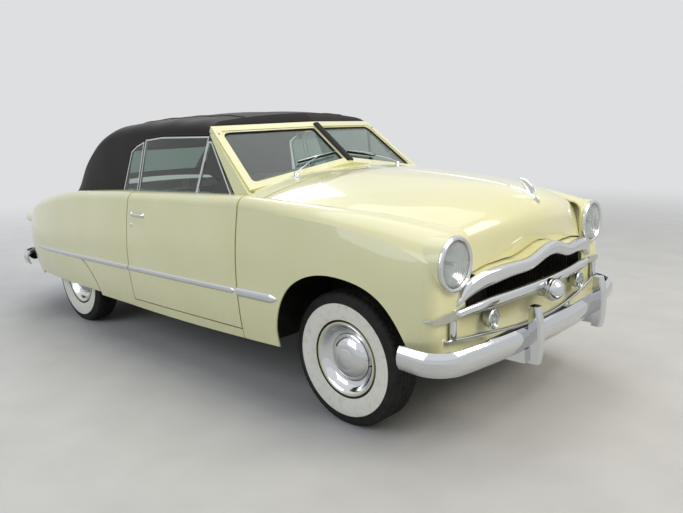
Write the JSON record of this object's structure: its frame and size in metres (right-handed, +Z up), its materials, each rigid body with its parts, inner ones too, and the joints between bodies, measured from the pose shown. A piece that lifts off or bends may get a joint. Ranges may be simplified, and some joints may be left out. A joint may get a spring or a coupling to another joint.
{
  "type": "1950s convertible car",
  "caption": "Two-door six-seat convertible with its cloth top up, rounded fenders, covered rear wheels and bright trim; doors, hood, deck lid, wheels and steering move.",
  "frame": {"origin": "on the floor under the middle of the car", "axes": "+X forward, +Y to the car's left, +Z up"},
  "size_m": [4.9963, 1.8424, 1.5837],
  "materials": {
    "body_paint": "gloss",
    "bright_metal": "polished",
    "clear_glass": "clear",
    "top_cloth": "woven",
    "red_lens": "gloss",
    "pale_lens": "gloss",
    "seat_leather": "satin",
    "dash_paint": "gloss",
    "wheel_rim_plastic": "gloss",
    "engine_iron": "matte",
    "chassis_black": "satin",
    "exhaust_iron": "matte",
    "under_paint": "matte",
    "tyre_rubber": "matte",
    "wheel_metal": "polished"
  },
  "bodies": {
    "body": {"boot_floor": "under_paint", "chassis_frame": "chassis_black", "cowl": "body_paint", "dashboard": "dash_paint", "engine_block": "engine_iron", "exhaust": "exhaust_iron", "fender_skirts": "body_paint", "floor_pan": "under_paint", "fog_lamps": "bright_metal", "front_bumper": "bright_metal", "front_fender_left": "body_paint", "front_fender_right": "body_paint", "front_seat": "seat_leather", "front_suspension": "chassis_black", "front_valance": "body_paint", "fuel_tank": "chassis_black", "grille_bar": "bright_metal", "grille_surround": "bright_metal", "headlamps": "clear_glass", "hinge_pillars": "body_paint", "inner_panels": "under_paint", "parking_lamps": "pale_lens", "quarter_frames": "bright_metal", "quarter_glass": "clear_glass", "quarter_panel_left": "body_paint", "quarter_panel_right": "body_paint", "radiator": "chassis_black", "rear_axle": "chassis_black", "rear_bumper": "bright_metal", "rear_seat": "seat_leather", "rear_window": "clear_glass", "rocker_panels": "body_paint", "soft_top": "top_cloth", "steering_column": "dash_paint", "tail_lamps": "red_lens", "tail_panel": "body_paint", "tunnel_cover": "under_paint", "wheelhouses": "under_paint", "windshield_glass": "clear_glass"},
    "knuckle_left": {"knuckle_left": "engine_iron"},
    "knuckle_right": {"knuckle_right": "engine_iron"},
    "front_left_wheel": {"tyre_front_left": "tyre_rubber", "wheel_front_left": "wheel_metal"},
    "front_right_wheel": {"tyre_front_right": "tyre_rubber", "wheel_front_right": "wheel_metal"},
    "rear_left_wheel": {"tyre_rear_left": "tyre_rubber", "wheel_rear_left": "wheel_metal"},
    "rear_right_wheel": {"tyre_rear_right": "tyre_rubber", "wheel_rear_right": "wheel_metal"},
    "door_left": {"door_left": "body_paint", "door_glass_left": "clear_glass", "window_frames_left": "bright_metal"},
    "door_right": {"door_right": "body_paint", "door_glass_right": "clear_glass", "window_frames_right": "bright_metal"},
    "hood": {"hood": "body_paint", "hood_ornament": "bright_metal"},
    "deck_lid": {"deck_lid": "body_paint"},
    "steering_wheel": {"steering_wheel": "wheel_rim_plastic"}
  },
  "joints": [
    {"name": "steer_left", "type": "hinge", "parent": "body", "child": "knuckle_left", "pos_m": [1.672, 0.628, 0.344], "axis": [0, 0, 1], "range_deg": [-32, 32]},
    {"name": "steer_right", "type": "hinge", "parent": "body", "child": "knuckle_right", "pos_m": [1.672, -0.628, 0.344], "axis": [0, 0, 1], "range_deg": [-32, 32]},
    {"name": "steering_wheel_turn", "type": "hinge", "parent": "body", "child": "steering_wheel", "pos_m": [0.45, 0.37, 0.962], "axis": [-0.9126, 0, 0.4088], "range_deg": [-580, 580]},
    {"name": "front_left_spin", "type": "hinge", "parent": "knuckle_left", "child": "front_left_wheel", "pos_m": [1.672, 0.711, 0.344], "axis": [0, 1, 0], "continuous": true},
    {"name": "front_right_spin", "type": "hinge", "parent": "knuckle_right", "child": "front_right_wheel", "pos_m": [1.672, -0.711, 0.344], "axis": [0, 1, 0], "continuous": true},
    {"name": "rear_left_spin", "type": "hinge", "parent": "body", "child": "rear_left_wheel", "pos_m": [-1.224, 0.711, 0.344], "axis": [0, 1, 0], "continuous": true},
    {"name": "rear_right_spin", "type": "hinge", "parent": "body", "child": "rear_right_wheel", "pos_m": [-1.224, -0.711, 0.344], "axis": [0, 1, 0], "continuous": true},
    {"name": "door_left_hinge", "type": "hinge", "parent": "body", "child": "door_left", "pos_m": [0.997, 0.906, 0.67], "axis": [0, 0, -1], "range_deg": [0, 65]},
    {"name": "door_right_hinge", "type": "hinge", "parent": "body", "child": "door_right", "pos_m": [0.997, -0.906, 0.67], "axis": [0, 0, 1], "range_deg": [0, 65]},
    {"name": "hood_hinge", "type": "hinge", "parent": "body", "child": "hood", "pos_m": [0.96, 0, 1.16], "axis": [0, -1, 0], "range_deg": [0, 48]},
    {"name": "deck_lid_hinge", "type": "hinge", "parent": "body", "child": "deck_lid", "pos_m": [-1.368, 0, 0.97], "axis": [0, 1, 0], "range_deg": [0, 62]}
  ],
  "couplings": [
    {"joint": "steer_right", "follows": "steer_left", "ratio": 1},
    {"joint": "steering_wheel_turn", "follows": "steer_left", "ratio": 18}
  ]
}
